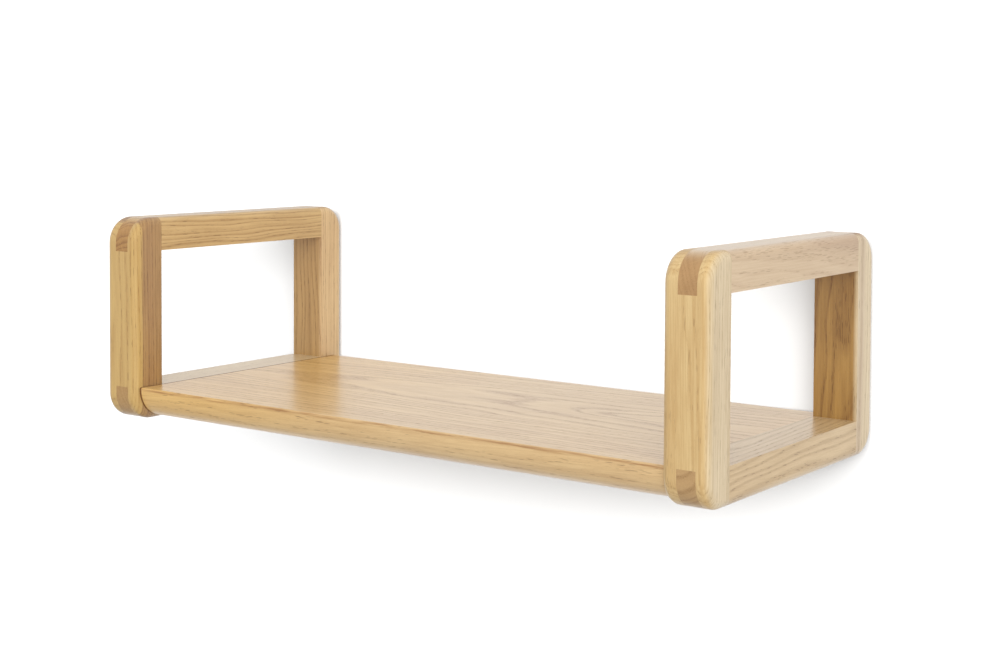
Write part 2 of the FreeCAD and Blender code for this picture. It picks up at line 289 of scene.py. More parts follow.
def vessels(tree, log, early, size, reach):
    """Vessels cut open: a dash in each cell of a stretched pattern, longer where early wood is."""
    stretched = vector_maths(tree, "DIVIDE", log, size)
    cells = add(tree, "ShaderNodeTexVoronoi",
                {"Vector": stretched, "Scale": 1.0, "Randomness": 1.0}).outputs["Distance"]
    least, most = reach
    grown = maths(tree, "MULTIPLY_ADD", early, most - least, least)
    return soft_step(tree, maths(tree, "SUBTRACT", grown, cells), *PORE_RIM)


def open_pores(tree, given, early):
    """Wide vessels in the early wood, and a scatter of finer ones everywhere."""
    wide = vessels(tree, given["Log"], early, WIDE_PORE_SIZE, WIDE_PORE_REACH)
    fine = vessels(tree, given["Log"], early, FINE_PORE_SIZE, FINE_PORE_REACH)
    return maths(tree, "MAXIMUM", wide, maths(tree, "MULTIPLY", fine, FINE_PORE_SHARE))


# %% The oak group: rays
RAYS_AROUND = 230.0
RAYS_OUTWARDS = 60.0
RAYS_ALONG = 70.0
RAY_RIM = (0.64, 0.72)
RAY_ON_SIDES = 0.16
RAY_MORE_ON_ENDS = 0.50


def ray_amount(tree, given, radius, angle):
    """Thin pale sheets that stand out from the heart like spokes, short along the grain."""
    spoke = vector_of(tree, maths(tree, "MULTIPLY", angle, RAYS_AROUND),
                      maths(tree, "MULTIPLY", radius, RAYS_OUTWARDS),
                      maths(tree, "MULTIPLY", parts_of(tree, given["Log"])[2], RAYS_ALONG))
    spots = add(tree, "ShaderNodeTexNoise", {"Vector": spoke, "Scale": 1.0, "Detail": 0.0})
    rays = soft_step(tree, spots.outputs["Fac"], *RAY_RIM)
    share = maths(tree, "MULTIPLY_ADD", given["End grain"], RAY_MORE_ON_ENDS, RAY_ON_SIDES)
    return maths(tree, "MULTIPLY", rays, share)


# %% The oak group: put together
END_SHADE = (0.68, 0.53, 0.33, 1.0)
SATIN = 0.34
PORE_ROUGHNESS = 0.20
END_ROUGHNESS = 0.12
STREAK_ROUGHNESS = 0.05
PORE_HEIGHT = -1.0
EARLY_HEIGHT = -0.12
FIBRE_HEIGHT = 0.15


def build_oak_group():
    """The colour, roughness and height of oak at a place in its log."""
    tree, given, result = new_group("oak", "ShaderNodeTree", GROUP_INPUTS, GROUP_OUTPUTS)
    radius, angle, early = year_rings(tree, given)
    colour, fibres, streaks = ground_colour(tree, given, early)
    colour = stained(tree, given, radius, colour)

    pores = open_pores(tree, given, early)
    sunk_colour = mix_colour(tree, 1.0, given["Dark"], PORE_SHADE, "MULTIPLY")
    depth = maths(tree, "MULTIPLY", pores, given["Pore depth"])
    colour = mix_colour(tree, depth, colour, sunk_colour)
    colour = mix_colour(tree, ray_amount(tree, given, radius, angle), colour, given["Light"])

    # end grain drinks more oil, so it dries darker and browner
    drunk = mix_colour(tree, 1.0, colour, END_SHADE, "MULTIPLY")
    thirst = maths(tree, "MULTIPLY", given["End grain"], given["Thirst"])
    tree.links.new(mix_colour(tree, thirst, colour, drunk), result["Colour"])

    rough = maths(tree, "MULTIPLY_ADD", pores, PORE_ROUGHNESS, SATIN)
    rough = maths(tree, "MULTIPLY_ADD", given["End grain"], END_ROUGHNESS, rough)
    rough = maths(tree, "MULTIPLY_ADD", streaks, STREAK_ROUGHNESS, rough)
    tree.links.new(rough, result["Roughness"])

    height = maths(tree, "MULTIPLY", early, EARLY_HEIGHT)
    height = maths(tree, "MULTIPLY_ADD", pores, PORE_HEIGHT, height)
    height = maths(tree, "MULTIPLY_ADD", fibres, FIBRE_HEIGHT, height)
    tree.links.new(height, result["Height"])
    return tree


OAK = build_oak_group()
print("oak group:", len(OAK.nodes), "nodes")

# %% [markdown]
# ## How each piece was cut from its log
#
# Every bar came from another place in another plank, so no two look alike. Each one needs to know
# which way its trunk ran, where the heart lay beside it, how wide its rings were and what tone the
# wood had. One material with sliders could be tuned by hand for every bar, but a table of cuts says
# the same in a line or two each, in the words a sawyer would use.
#
# The left front stile has a darker streak of heartwood on its inner face, and the board's tone
# changes along its length. On the other stiles the tones hold painted light and shade: the sides
# that face the softbox on the right pass into a paler tone, and the fronts of the two rear stiles,
# which lie in their frames' shade, have darker tones. Where a second pair of tones is given, the
# first pair passes into it across the bar, between two places on one axis.

# %% The tones of oak, as pairs of light and dark
HONEY = (screen_colour(204, 170, 104), screen_colour(178, 138, 76))
WHEAT = (screen_colour(216, 188, 134), screen_colour(192, 157, 102))
OAT = (screen_colour(208, 180, 136), screen_colour(184, 154, 110))
SAND = (screen_colour(222, 190, 138), screen_colour(190, 152, 104))
GOLD = (screen_colour(226, 186, 116), screen_colour(194, 150, 84))
STRAW = (screen_colour(214, 190, 148), screen_colour(190, 160, 114))
FLAX = (screen_colour(211, 176, 117), screen_colour(174, 136, 80))
# painted light: a pale tone for the stile sides that face the softbox on the right
LIT_CREAM = (screen_colour(218, 198, 162), screen_colour(194, 170, 130))
BLUSH = (screen_colour(210, 184, 148), screen_colour(188, 158, 122))
# painted shade: darker tones for the fronts of the rear stiles, which lie in their frames' shade
SHADED_AMBER = (screen_colour(176, 136, 72), screen_colour(134, 95, 43))
SHADED_BRONZE = (screen_colour(192, 154, 96), screen_colour(160, 122, 70))
BARK = (screen_colour(186, 146, 90), screen_colour(138, 100, 56))
RUSSET = screen_colour(140, 96, 66)


# %% What a cut is
class Cut:
    """How one piece lay in its log; lengths are in metres and angles in degrees.

    grain is the axis that the trunk ran along, heart is where its heart lay beside the piece's
    middle, and ring is the width of a year. lean tilts the trunk and wander bends it. rings,
    contrast and pore_depth say how strongly each shows. thirst is how dark the end grain dries, and
    end_reach from which slope to which a face turns into end grain. stain is a radius, a width and
    a depth. passing is an axis with the places where the second tones begin and are reached. calm
    is an axis, two places and the share of the rings that is left beyond them."""

    def __init__(self, grain, heart, ring, tones, **extra):
        self.grain = grain
        self.heart = heart
        self.ring = ring
        self.tones = tones
        self.lean = extra.get("lean", (0.5, 0.5))
        self.wander = extra.get("wander", 0.012)
        self.rings = extra.get("rings", 0.55)
        self.contrast = extra.get("contrast", 1.0)
        self.pore_depth = extra.get("pore_depth", 0.55)
        self.thirst = extra.get("thirst", 0.45)
        self.end_reach = extra.get("end_reach", (0.75, 1.0))
        self.stain = extra.get("stain", (1.0, 0.01, 0.0))
        self.second_tones = extra.get("second_tones")
        self.passing = extra.get("passing")
        self.calm = extra.get("calm")


# %% The bars and their logs
THIRSTY_END = {"thirst": 1.0, "end_reach": (0.15, 0.75)}
CUTS = {
    "left_front_stile": Cut(
        "z", (-0.020, -0.095), 0.0034, HONEY, second_tones=BARK, passing=("y", -0.3055, -0.3040),
        rings=0.45, stain=(0.105, 0.010, 0.2)),
    # painted light and shade: the front, in the frame's shade, is darker; the inner side, facing
    # the softbox, passes into a paler tone
    "left_rear_stile": Cut(
        "z", (0.060, 0.060), 0.0036, SHADED_BRONZE, second_tones=SAND, passing=("x", -0.3125, -0.3085),
        wander=0.016),
    "left_top_rail": Cut(
        "y", (0.040, 0.150), 0.0046, FLAX, rings=0.75, wander=0.030, lean=(0.2, 0.5),
        **THIRSTY_END),
    "left_bottom_rail": Cut(
        "y", (0.100, -0.040), 0.0032, STRAW, rings=0.3, **THIRSTY_END),
    # painted light: the outer side, facing the softbox, passes into a paler tone
    "right_front_stile": Cut(
        "z", (-0.020, 0.110), 0.0027, WHEAT, second_tones=LIT_CREAM, passing=("x", 0.3450, 0.3496),
        rings=0.30, pore_depth=0.40, contrast=1.5),
    # painted light and shade: the front, in the frame's shade, is darker; the outer side, facing
    # the softbox, passes into a paler tone
    "right_rear_stile": Cut(
        "z", (0.015, 0.070), 0.0036, SHADED_AMBER, second_tones=LIT_CREAM, passing=("x", 0.3450, 0.3496),
        wander=0.018, stain=(0.080, 0.008, 0.4)),
    "right_top_rail": Cut(
        "y", (-0.110, 0.050), 0.0038, BLUSH, rings=0.35, lean=(0.5, 1.2), pore_depth=0.3,
        stain=(0.150, 0.008, 0.4), **THIRSTY_END),
    "right_bottom_rail": Cut(
        "y", (-0.060, -0.060), 0.0058, OAT, rings=1.0, wander=0.030, lean=(2.0, 2.5),
        thirst=0.7, end_reach=(0.15, 0.75)),
    "shelf_board": Cut(
        "x", (0.060, 0.020), 0.0062, GOLD, second_tones=SAND, passing=("x", -0.28, 0.05),
        rings=0.7, wander=0.026, lean=(1.0, 2.6), calm=("y", -0.285, -0.303, 0.25)),
}
PIECE_ORDER = sorted(CUTS)
print("cuts:", ", ".join(PIECE_ORDER))

# %% [markdown]
# ## From the piece to its log
#
# A Mapping node turns the piece's own coordinates into the log's: a turn that brings the bar's long
# axis onto Z, and a shift that puts the heart where it belongs. Each piece lies one step further up
# an endless trunk than the last, so that no two share a pattern.

# %% A place in the log
TO_LOG = {
    "x": Matrix.Rotation(math.radians(-90), 3, "Y"),
    "y": Matrix.Rotation(math.radians(90), 3, "X"),
    "z": Matrix.Identity(3),
}
LOG_SPACING = 0.9


def middle_of(piece):
    low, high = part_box(piece)
    return (Vector(low) + Vector(high)) / 2


def log_place(tree, piece, cut):
    """Turn the piece's own coordinates into its log's, with the heart beside its middle."""
    lean_x, lean_y = (math.radians(angle) for angle in cut.lean)
    lean = Matrix.Rotation(lean_x, 3, "X") @ Matrix.Rotation(lean_y, 3, "Y")
    turn = lean @ TO_LOG[cut.grain]
    along = LOG_SPACING * PIECE_ORDER.index(piece)
    shift = Vector((-cut.heart[0], -cut.heart[1], along)) - turn @ middle_of(piece)
    return add(tree, "ShaderNodeMapping", {"Vector": own_place(tree), "Location": shift,
                                           "Rotation": turn.to_euler()}).outputs[0]


print("step from log to log:", LOG_SPACING, "metres")


# %% What changes over a piece
def end_grain_mask(tree, cut):
    """1 where the surface faces along the grain, 0 where it runs with it."""
    normal = add(tree, "ShaderNodeTexCoord").outputs["Normal"]
    facing = maths(tree, "ABSOLUTE", along_axis(tree, normal, cut.grain))
    return soft_step(tree, facing, *cut.end_reach)


def tone_pair(tree, cut):
    """The light and dark tones, which pass into a second pair across the bar if it has one."""
    if cut.second_tones is None:
        return cut.tones
    axis, start, end = cut.passing
    share = soft_step(tree, along_axis(tree, own_place(tree), axis), start, end)
    pairs = zip(cut.tones, cut.second_tones)
    return [mix_colour(tree, share, first, second) for first, second in pairs]


def ring_share(tree, cut):
    """How much of the ring pattern shows; on a calm face it falls off to a share of the rest."""
    if cut.calm is None:
        return cut.rings
    axis, start, end, share = cut.calm
    calmed = soft_step(tree, along_axis(tree, own_place(tree), axis), start, end)
    return maths(tree, "MULTIPLY_ADD", calmed, cut.rings * (share - 1.0), cut.rings)


# %% [markdown]
# ## Lines along the board
#
# Where the board meets the left frame, a thin dark line of painted shade stands for the shadow in
# that seam, where the board sits a little lower than the rail. Along the board's front edge, oil
# gathers just below the corner and dries in dark patches. Both could be painted on a picture, but
# each is only a distance from one face of the board, so a slope on that distance draws it at its
# true width.

# %% Painted seam shade and oiled edge
BOARD = "shelf_board"
# painted shade: a dark line that stands for the shadow in the seam between board and left rail
SEAM_SHADE_LINE = (0.0018, 0.0030)
SEAM_SHADE = screen_colour(120, 78, 40)
OIL_STARTS = 0.0008
OIL_ENDS = (0.0022, 0.0044)
OIL_FRONT = (0.020, 0.004)
OIL_PATCH_SIZE = (0.035, 0.01, 0.002)
OIL_PATCH_SLOPE = (0.25, 0.75)
OIL_SHADE = (0.60, 0.46, 0.34, 1.0)


def board_lines(tree, colour, roughness):
    """Painted shade as a dark line at the board's left end, where it sits below the rail,
    and patches of oil below its front edge.
    """
    low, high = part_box(BOARD)
    place = own_place(tree)
    x, y, z = parts_of(tree, place)
    below = maths(tree, "SUBTRACT", high.z, z)
    band = maths(tree, "MULTIPLY", soft_step(tree, below, 0.0, OIL_STARTS),
                 soft_step(tree, below, OIL_ENDS[1], OIL_ENDS[0]))
    front = soft_step(tree, y, low.y + OIL_FRONT[0], low.y + OIL_FRONT[1])
    patches = noise(tree, place, OIL_PATCH_SIZE).outputs["Fac"]
    oiled = maths(tree, "MULTIPLY", maths(tree, "MULTIPLY", band, front),
                  soft_step(tree, patches, *OIL_PATCH_SLOPE))
    shaded = mix_colour(tree, 1.0, colour, OIL_SHADE, "MULTIPLY")
    colour = mix_colour(tree, oiled, colour, shaded)
    # painted shade in the seam at the board's left end; full roughness there keeps the sheen off it
    seam_shade = soft_step(tree, x, low.x + SEAM_SHADE_LINE[1], low.x + SEAM_SHADE_LINE[0])
    return mix_colour(tree, seam_shade, colour, SEAM_SHADE), maths(tree, "MAXIMUM", seam_shade, roughness)


print("glue line, in millimetres from the joint:", [round(1000 * edge, 1) for edge in SEAM_SHADE_LINE])

# %% [markdown]
# ## The oil finish
#
# Rubbed oil leaves oak satin: a soft sheen with a slightly tighter one on top, where the oil has
# built up. The Principled shader has a coat layer for just that. Its strength and roughness are the
# same all over, so they are set on its own sockets, and only colour, roughness and bump come from
# the oak group.

# %% A material for each piece of oak
OAK_BUMP = {"Strength": 0.25, "Distance": 0.00015}
OIL_COAT = {"IOR": 1.5, "Coat Weight": 0.45, "Coat Roughness": 0.22}


def new_material(name, shown):
    material = bpy.data.materials.new(name)
    material.use_nodes = True
    material.diffuse_color = shown
    tree = material.node_tree
    tree.nodes.clear()
    output = tree.nodes.new("ShaderNodeOutputMaterial")
    shader = add(tree, "ShaderNodeBsdfPrincipled")
    tree.links.new(shader.outputs[0], output.inputs["Surface"])
    return material, tree, shader


def oak_material(piece):
    cut = CUTS[piece]
    material, tree, shader = new_material(f"oak_{piece}", cut.tones[0])
    light, dark = tone_pair(tree, cut)
    stain_radius, stain_width, stain_depth = cut.stain
    figure = add(tree, "ShaderNodeGroup", node_tree=OAK)
    fill(tree, figure, {
        "Log": log_place(tree, piece, cut), "Ring width": cut.ring, "Wander": cut.wander,
        "Rings": ring_share(tree, cut), "Contrast": cut.contrast, "Pore depth": cut.pore_depth,
        "Light": light, "Dark": dark, "Stain": RUSSET, "Stain radius": stain_radius,
        "Stain width": stain_width, "Stain depth": stain_depth,
        "End grain": end_grain_mask(tree, cut), "Thirst": cut.thirst,
    })
    colour, roughness = figure.outputs["Colour"], figure.outputs["Roughness"]
    if piece == BOARD:
        colour, roughness = board_lines(tree, colour, roughness)
    bump = add(tree, "ShaderNodeBump", {"Height": figure.outputs["Height"], **OAK_BUMP})
    fill(tree, shader, {"Base Color": colour, "Roughness": roughness, "Normal": bump.outputs[0],
                        **OIL_COAT})
    return material


# %% Dress the oak
def dress(piece, material):
    mesh = nodes[piece].data
    mesh.materials.clear()
    mesh.materials.append(material)


for piece in CUTS:
    dress(piece, oak_material(piece))
print("oak pieces dressed:", len(CUTS))

# %% [markdown]
# ## Hidden dowels
#
# Eight fluted beech dowels hold the board to the frames; the flutes let air and glue out of the
# holes. Each could be a cylinder with grooves cut into it, but a section swept along a line needs
# no cutting: a star curve is the section, and its scale falls off at both ends, which makes the
# chamfers. Geometry Nodes place them on two rows, one at each joint. The same small group of two
# rows later places the four screws of the hanging plates.


# %% Two rows of points, as a group
def new_modifier_tree(name, inputs):
    sockets = {"Geometry": "NodeSocketGeometry", **inputs}
    return new_group(name, "GeometryNodeTree", sockets, {"Geometry": "NodeSocketGeometry"})


ROW_INPUTS = {
    "First": "NodeSocketVector",
    "Step": "NodeSocketVector",
    "Count": "NodeSocketInt",
    "Across": "NodeSocketVector",
}


def build_two_rows():
    """Count points that start at First and are Step apart, and the same row again, Across away."""
    tree, given, result = new_modifier_tree("two_rows", ROW_INPUTS)
    row = add(tree, "GeometryNodeMeshLine", {
        "Count": given["Count"], "Start Location": given["First"],
        "Offset": given["Step"]}).outputs[0]
    other = add(tree, "GeometryNodeTransform",
                {"Geometry": row, "Translation": given["Across"]}).outputs[0]
    both = tree.nodes.new("GeometryNodeJoinGeometry")
    for part in (row, other):
        tree.links.new(part, both.inputs[0])
    tree.links.new(both.outputs[0], result["Geometry"])
    return tree


TWO_ROWS = build_two_rows()


def stand_in_rows(tree, given, result, shape):
    """Put shape on the two rows of points, make it real and give it its material."""
    rows = add(tree, "GeometryNodeGroup", node_tree=TWO_ROWS)
    fill(tree, rows, {name: given[name] for name in ROW_INPUTS})
    placed = add(tree, "GeometryNodeInstanceOnPoints",
                 {"Points": rows.outputs[0], "Instance": shape}).outputs[0]
    real = add(tree, "GeometryNodeRealizeInstances", {"Geometry": placed}).outputs[0]
    coloured = add(tree, "GeometryNodeSetMaterial",
                   {"Geometry": real, "Material": given["Material"]})
    tree.links.new(coloured.outputs[0], result["Geometry"])


print("two rows:", len(TWO_ROWS.nodes), "nodes")

# %% The tree of a fluted dowel
DOWEL_INPUTS = {
    **ROW_INPUTS,
    "Length": "NodeSocketFloat",
    "Radius": "NodeSocketFloat",
    "Flute depth": "NodeSocketFloat",
    "Flutes": "NodeSocketInt",
    "Chamfer": "NodeSocketFloat",
    "Material": "NodeSocketMaterial",
}


def chamfer_scale(tree, given, steps):
    """1 along the dowel, and less on its first and last section."""
    index = add(tree, "GeometryNodeInputIndex").outputs[0]
    last = maths(tree, "ROUND", steps)
    at_end = maths(tree, "MAXIMUM", maths(tree, "COMPARE", index, 0.0, 0.1),
                   maths(tree, "COMPARE", index, last, 0.1))
    narrow = maths(tree, "SUBTRACT", 1.0, maths(tree, "DIVIDE", given["Chamfer"], given["Radius"]))
    return maths(tree, "MULTIPLY_ADD", at_end, maths(tree, "SUBTRACT", narrow, 1.0), 1.0)


def build_dowel_tree():
    """Dowels along X, centred on their points."""
    tree, given, result = new_modifier_tree("fluted_dowels", DOWEL_INPUTS)
    half = maths(tree, "MULTIPLY", given["Length"], 0.5)
    start = vector_of(tree, maths(tree, "MULTIPLY", half, -1.0))
    line = add(tree, "GeometryNodeCurvePrimitiveLine",
               {"Start": start, "End": vector_of(tree, half)}).outputs[0]
    steps = maths(tree, "DIVIDE", given["Length"], given["Chamfer"])
    points = add(tree, "GeometryNodeResampleCurve",
                 {"Curve": line, "Count": maths(tree, "ADD", steps, 1.0)}).outputs[0]
    section = add(tree, "GeometryNodeCurveStar", {
        "Points": given["Flutes"], "Outer Radius": given["Radius"],
        "Inner Radius": maths(tree, "SUBTRACT", given["Radius"], given["Flute depth"])}).outputs[0]
    swept = add(tree, "GeometryNodeCurveToMesh", {
        "Curve": points, "Profile Curve": section, "Scale": chamfer_scale(tree, given, steps),
        "Fill Caps": True}).outputs[0]
    stand_in_rows(tree, given, result, swept)
    return tree


DOWELS = build_dowel_tree()
print("dowel tree:", len(DOWELS.nodes), "nodes")

# %% [markdown]
# ## Screws
#
# A countersunk screw is a tall thin cylinder whose rows of points are pulled in and out. How far a
# point lies from the axis depends on its depth in the wood and on its angle: the head is a cone,
# the thread is a ridge that climbs one pitch in each turn, and the last few millimetres narrow to a
# point. Two crossed bars are cut out of the head for the driver. A thread could also be a swept
# spiral joined to a rod, but then the two would only touch, and one closed skin is cleaner.

# %% The radius of a screw
SCREW_INPUTS = {
    **ROW_INPUTS,
    "Length": "NodeSocketFloat",
    "Head radius": "NodeSocketFloat",
    "Head depth": "NodeSocketFloat",
    "Thread radius": "NodeSocketFloat",
    "Thread depth": "NodeSocketFloat",
    "Pitch": "NodeSocketFloat",
    "Point length": "NodeSocketFloat",
    "Point radius": "NodeSocketFloat",
    "Drive width": "NodeSocketFloat",
    "Drive span": "NodeSocketFloat",
    "Drive depth": "NodeSocketFloat",
    "Material": "NodeSocketMaterial",
}


def map_value(tree, value, from_low, from_high, to_low, to_high):
    reach = {"Value": value, "From Min": from_low, "From Max": from_high,
             "To Min": to_low, "To Max": to_high}
    return add(tree, "ShaderNodeMapRange", reach).outputs[0]


def screw_radius(tree, given, depth, angle):
    """The distance from the axis: a cone, then a thread, then a narrowing tip."""
    turns = maths(tree, "ADD", maths(tree, "DIVIDE", depth, given["Pitch"]),
                  maths(tree, "DIVIDE", angle, 2 * math.pi))
    flank = maths(tree, "PINGPONG", maths(tree, "FRACT", turns), 0.5)
    groove = maths(tree, "MULTIPLY_ADD", flank, -2.0, 1.0)
    dip = maths(tree, "MULTIPLY", groove, given["Thread depth"])
    thread_starts = maths(tree, "ADD", given["Head depth"], given["Pitch"])
    grown = soft_step(tree, depth, given["Head depth"], thread_starts)
    thread = maths(tree, "SUBTRACT", given["Thread radius"], maths(tree, "MULTIPLY", dip, grown))
    head = map_value(tree, depth, 0.0, given["Head depth"],
                     given["Head radius"], given["Thread radius"])
    fading_head = maths(tree, "MULTIPLY", head, maths(tree, "SUBTRACT", 1.0, grown))
    shank = maths(tree, "MAXIMUM", thread, fading_head)
    tip_starts = maths(tree, "SUBTRACT", given["Length"], given["Point length"])
    tip_share = maths(tree, "DIVIDE", given["Point radius"], given["Thread radius"])
    narrowing = map_value(tree, depth, tip_starts, given["Length"], 1.0, tip_share)
    return maths(tree, "MULTIPLY", shank, narrowing)


# %% The tree of a screw
SCREW_SIDES = 24
SCREW_ROWS = 96


def cross_recess(tree, given, shaped):
    """Cut two crossed bars out of the head, which lies at Y = 0."""
    cut = add(tree, "GeometryNodeMeshBoolean", {"Mesh 1": shaped},
              operation="DIFFERENCE", solver="EXACT")
    height = maths(tree, "MULTIPLY", given["Drive depth"], 2.0)
    for across, up in (("Drive span", "Drive width"), ("Drive width", "Drive span")):
        size = vector_of(tree, given[across], height, given[up])
        bar = add(tree, "GeometryNodeMeshCube", {"Size": size}).outputs[0]
        tree.links.new(bar, cut.inputs["Mesh 2"])
    return cut.outputs["Mesh"]


def build_screw_tree():
    """Screws whose heads are at their points and whose tips lie towards -Y."""
    tree, given, result = new_modifier_tree("countersunk_screws", SCREW_INPUTS)
    rod = add(tree, "GeometryNodeMeshCylinder", {
        "Vertices": SCREW_SIDES, "Side Segments": SCREW_ROWS, "Radius": 1.0,
        "Depth": given["Length"]}).outputs["Mesh"]
    x, y, z = parts_of(tree, add(tree, "GeometryNodeInputPosition").outputs[0])
    depth = maths(tree, "ADD", z, maths(tree, "MULTIPLY", given["Length"], 0.5))
    radius = screw_radius(tree, given, depth, maths(tree, "ARCTAN2", y, x))
    moved = vector_of(tree, maths(tree, "MULTIPLY", x, radius),
                      maths(tree, "MULTIPLY", depth, -1.0), maths(tree, "MULTIPLY", y, radius))
    shaped = add(tree, "GeometryNodeSetPosition", {"Geometry": rod, "Position": moved}).outputs[0]
    stand_in_rows(tree, given, result, cross_recess(tree, given, shaped))
    return tree


SCREWS = build_screw_tree()
print("screw tree:", len(SCREWS.nodes), "nodes")

# %% [markdown]
# ## Beech and zinc
#
# Dowels are left bare, so beech needs only its short darker flecks and a dull surface. The plates
# and screws are zinc-plated steel: a metal is coloured by what it mirrors, and a faint clouding of
# its roughness keeps it from looking like chrome.

# %% Two hidden finishes
BEECH_LIGHT = screen_colour(222, 188, 148)
BEECH_DARK = screen_colour(196, 156, 116)
BEECH_FLECK_SIZE = (0.004, 0.0006, 0.0006)
BEECH_FLECK_SLOPE = (0.4, 0.7)
ZINC = screen_colour(196, 199, 202)
ZINC_CLOUD_SIZE = (0.003, 0.003, 0.003)
ZINC_ROUGHNESS = 0.26
ZINC_CLOUDING = 0.20


def beech_material():
    material, tree, shader = new_material("dowel_beech", BEECH_LIGHT)
    flecks = noise(tree, own_place(tree), BEECH_FLECK_SIZE, detail=3.0, roughness=0.6)
    share = soft_step(tree, flecks.outputs["Fac"], *BEECH_FLECK_SLOPE)
    fill(tree, shader, {"Base Color": mix_colour(tree, share, BEECH_LIGHT, BEECH_DARK),
                        "Roughness": 0.6, "IOR": 1.5})
    return material


def zinc_material():
    material, tree, shader = new_material("zinc_steel", ZINC)
    clouds = noise(tree, own_place(tree), ZINC_CLOUD_SIZE, detail=4.0, roughness=0.6)
    roughness = maths(tree, "MULTIPLY_ADD", clouds.outputs["Fac"], ZINC_CLOUDING, ZINC_ROUGHNESS)
    fill(tree, shader, {"Base Color": ZINC, "Metallic": 1.0, "Roughness": roughness})
    return material


BEECH = beech_material()
STEEL = zinc_material()
SIDES = ("left", "right")
for side in SIDES:
    dress(f"{side}_hanger_plate", STEEL)
print("plates dressed:", len(SIDES))

# %% [markdown]
# ## From a tree to a piece
#
# A modifier runs a tree, and its inputs are set by the identifier that each socket carries. The
# finished shape is then copied to a plain mesh, and the modifier goes. The new piece takes the
# place of the plain solids from the frame, rides on the shelf's one body and says which finish it
# has.


# %% Make a piece and put it in the frame
def make_piece(name, tree, values, replaced):
    carrier = bpy.data.objects.new(f"{name}_carrier", bpy.data.meshes.new(name))
    bpy.context.scene.collection.objects.link(carrier)
    modifier = carrier.modifiers.new("shape", "NODES")
    modifier.node_group = tree
    given = (item for item in tree.interface.items_tree if item.in_out == "INPUT")
    sockets = {item.name: item.identifier for item in given}
    for socket, value in values.items():
        modifier[sockets[socket]] = value
    evaluated = carrier.evaluated_get(bpy.context.evaluated_depsgraph_get())
    piece = bpy.data.objects.new(name, bpy.data.meshes.new_from_object(evaluated))
    bpy.data.objects.remove(carrier)
    bpy.context.scene.collection.objects.link(piece)
    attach(piece, "root")
    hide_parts(*replaced)
    print(name, "stand for", len(replaced), "solids:", len(piece.data.polygons), "faces")


def two_row_values(rows, first):
    """Where the two rows of pieces are, from the solids that stood there."""
    left, right = (rows[side] for side in SIDES)
    step = (middle_of(left[-1]) - middle_of(left[0])) / (len(left) - 1)
    across = middle_of(right[0]) - middle_of(left[0])
    return {"First": first, "Step": step, "Count": len(left), "Across": across}


# %% The dowels
DOWEL_NODES = {side: [f"{side}_dowel_{number}" for number in range(1, 5)] for side in SIDES}

make_piece("dowels", DOWELS, {
    **two_row_values(DOWEL_NODES, middle_of(DOWEL_NODES["left"][0])),
    "Length": 0.040, "Radius": 0.0040, "Flute depth": 0.0003, "Flutes": 18, "Chamfer": 0.001,
    "Material": BEECH,
}, [piece for row in DOWEL_NODES.values() for piece in row])

# %% The plates' screws
SCREW_NODES = {side: [f"{side}_hanger_screw_{end}" for end in ("lower", "upper")] for side in SIDES}

screw_head = middle_of(SCREW_NODES["left"][0])
screw_head.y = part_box(SCREW_NODES["left"][0])[1].y
make_piece("hanger_screws", SCREWS, {
    **two_row_values(SCREW_NODES, screw_head),
    "Length": 0.016, "Head radius": 0.0033, "Head depth": 0.002, "Thread radius": 0.00175,
    "Thread depth": 0.0005, "Pitch": 0.0014, "Point length": 0.004, "Point radius": 0.00025,
    "Drive width": 0.0009, "Drive span": 0.0034, "Drive depth": 0.0012, "Material": STEEL,
}, [piece for row in SCREW_NODES.values() for piece in row])

# %% [markdown]
# ## The room
#
# The shelf hangs on a plain white wall, and its shadow on that wall is all there is to see of the
# room. In a studio such a wall gets a lamp of its own until it is just white, which leaves of the
# shadow only its core under the board. Blender can do the same: light linking says which objects a
# lamp lights. So one lamp belongs to the wall and the other to the wood, and neither disturbs the
# other. Reflections see the wall at full white. From behind it is clear, and it sends no light back
# and casts no shadow, so that the back of the shelf can be looked at too.

# %% Paint
WALL_GREY = 0.35
WALL_MIRRORED = 1.0
FLOOR_GREY = 0.60


def paint_material(name, grey, one_sided):
    material = bpy.data.materials.new(name)
    material.use_nodes = True
    tree = material.node_tree
    tree.nodes.clear()
    output = tree.nodes.new("ShaderNodeOutputMaterial")
    surface = add(tree, "ShaderNodeBsdfDiffuse", {"Color": (grey, grey, grey, 1.0)}).outputs[0]
    if one_sided:
        mirrored = add(tree, "ShaderNodeLightPath").outputs["Is Glossy Ray"]
        glow = add(tree, "ShaderNodeEmission", {"Strength": WALL_MIRRORED}).outputs[0]
        surface = add(tree, "ShaderNodeMixShader", {0: mirrored, 1: surface, 2: glow}).outputs[0]
        clear = add(tree, "ShaderNodeBsdfTransparent").outputs[0]
        behind = add(tree, "ShaderNodeNewGeometry").outputs["Backfacing"]
        surface = add(tree, "ShaderNodeMixShader", {0: behind, 1: surface, 2: clear}).outputs[0]
    tree.links.new(surface, output.inputs["Surface"])
    return material


# %% Wall and floor
WALL_GAP = 0.0005
WALL_TOP = 4
FLOOR_DROP = 0.60
ROOM_HALF_WIDTH = 5
FLOOR_HALF_DEPTH = 6


def plane(name, corners, material):
    mesh = bpy.data.meshes.new(name)
    mesh.from_pydata(corners, [], [(0, 1, 2, 3)])
    mesh.materials.append(material)
    made = bpy.data.objects.new(name, mesh)
    bpy.context.scene.collection.objects.link(made)
    return made


